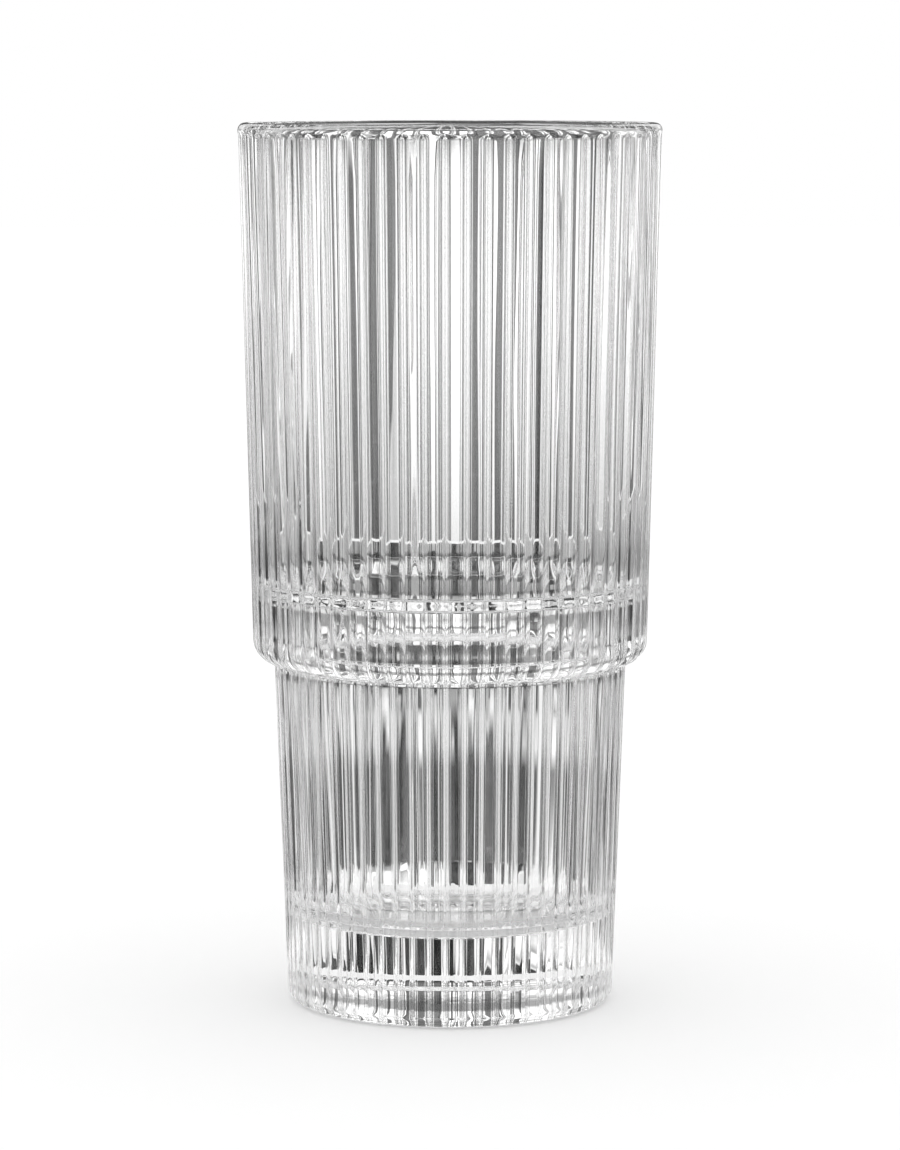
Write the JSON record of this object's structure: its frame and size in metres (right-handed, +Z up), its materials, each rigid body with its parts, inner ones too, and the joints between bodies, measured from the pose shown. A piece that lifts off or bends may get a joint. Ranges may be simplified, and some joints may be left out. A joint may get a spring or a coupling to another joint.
{
  "type": "highball glass",
  "caption": "Tall clear pressed-glass tumbler with fine vertical reeds, a rounded stacking shoulder, a narrower lower body and a thick solid base.",
  "frame": {"origin": "centre of the ring that the glass stands on, at table level", "axes": "+Z up along the axis of the glass, -Y towards the camera of the picture, with a reed crest on -Y"},
  "size_m": [0.0766, 0.0766, 0.16],
  "materials": {
    "glass": "fire-polished clear glass"
  },
  "bodies": {
    "root": {"rim": "glass", "upper_wall_left": "glass", "upper_wall_right": "glass", "shoulder": "glass", "lower_wall_left": "glass", "lower_wall_right": "glass", "base": "glass"}
  },
  "joints": []
}
